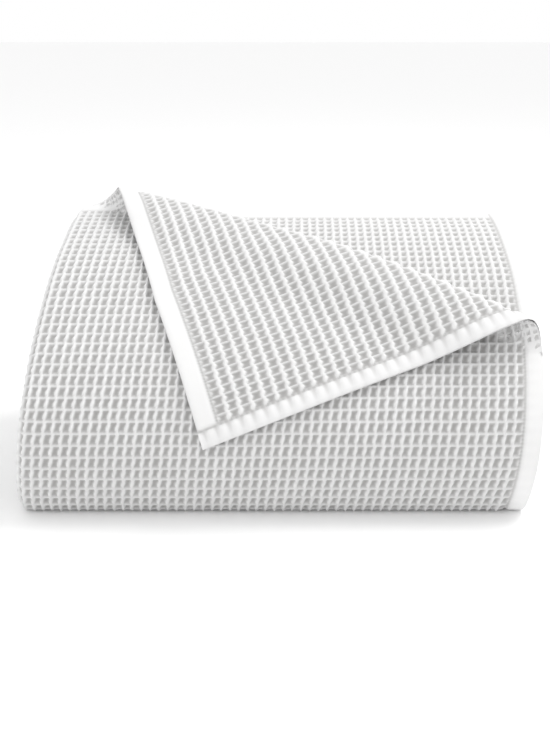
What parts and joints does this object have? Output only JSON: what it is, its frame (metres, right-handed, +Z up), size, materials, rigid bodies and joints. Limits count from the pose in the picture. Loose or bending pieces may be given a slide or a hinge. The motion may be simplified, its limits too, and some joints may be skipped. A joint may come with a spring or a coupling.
{
  "type": "waffle weave cotton blanket",
  "caption": "White waffle weave cotton blanket, folded into a thick stack with one corner turned over on top.",
  "frame": {"origin": "middle of the stack's footprint, on the surface it rests on", "axes": "+Z up, -Y towards the folded front, +X towards the side hems"},
  "size_m": [0.4374, 0.2664, 0.2317],
  "materials": {
    "white_cotton": "matt waffle weave cotton"
  },
  "bodies": {
    "root": {"blanket": "white_cotton"}
  },
  "joints": []
}
